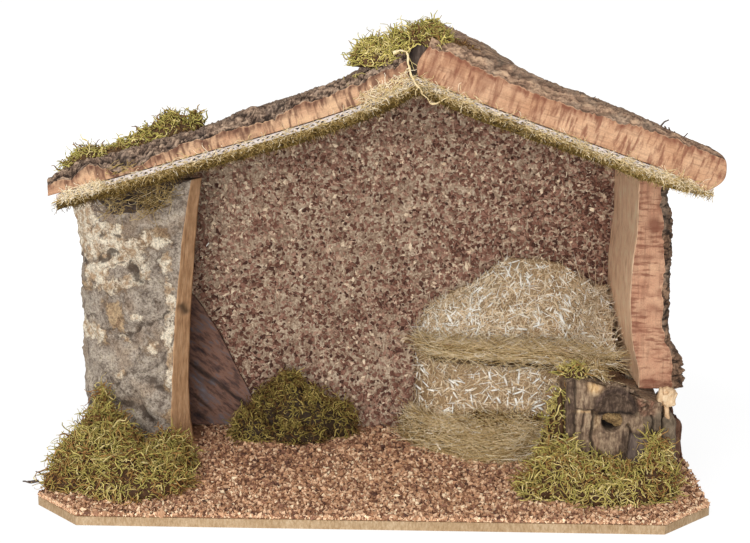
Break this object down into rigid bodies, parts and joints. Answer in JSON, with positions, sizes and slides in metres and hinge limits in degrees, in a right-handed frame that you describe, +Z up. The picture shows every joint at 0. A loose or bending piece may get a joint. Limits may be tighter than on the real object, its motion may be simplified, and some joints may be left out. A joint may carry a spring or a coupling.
{
  "type": "nativity stable",
  "caption": "Open-fronted rustic stable on a flat base, with bark side walls, a gabled back wall, a thick cork roof, moss cushions and a stepped pile of hay.",
  "frame": {"origin": "middle of the underside of the base board, on the surface that the stable stands on", "axes": "+Z up, +X to the right as seen from the open front, +Y to the back wall"},
  "size_m": [0.45, 0.2, 0.3252],
  "materials": {
    "fibreboard": "matt sawn",
    "floor_cork_grit": "rough granules",
    "wall_cork_grit": "rough granules",
    "grey_bark": "rough bark",
    "dark_bark": "rough bark",
    "cork": "sawn cork with rough bark",
    "corrugated_board": "matt paper",
    "fibre_mat": "loose fibre",
    "pale_wood": "split wood",
    "hay": "dry straw",
    "moss": "dried moss",
    "steel": "bright pins"
  },
  "bodies": {
    "root": {"base_board": "fibreboard", "floor_grit": "floor_cork_grit", "back_board": "fibreboard", "wall_grit": "wall_cork_grit", "left_wall_bark": "grey_bark", "corner_bark": "dark_bark", "right_wall_cork": "cork", "roof_sheet": "corrugated_board", "left_roof_mat": "fibre_mat", "right_roof_mat": "fibre_mat", "left_roof_cork": "cork", "right_roof_cork": "cork", "stump_bark": "dark_bark", "knot_tongue": "pale_wood", "grey_bark": "grey_bark", "side_bark": "dark_bark", "root_piece": "dark_bark", "wood_chip": "pale_wood", "hay_block": "hay", "hay_ledge": "hay", "hay_mound": "hay", "hay_bed": "hay", "front_left_moss": "moss", "front_right_moss": "moss", "back_moss": "moss", "roof_moss": "moss", "ridge_moss": "moss", "stump_side_moss": "moss", "stump_top_moss": "moss", "ridge_rootlet": "pale_wood", "base_pins": "steel"}
  },
  "joints": []
}
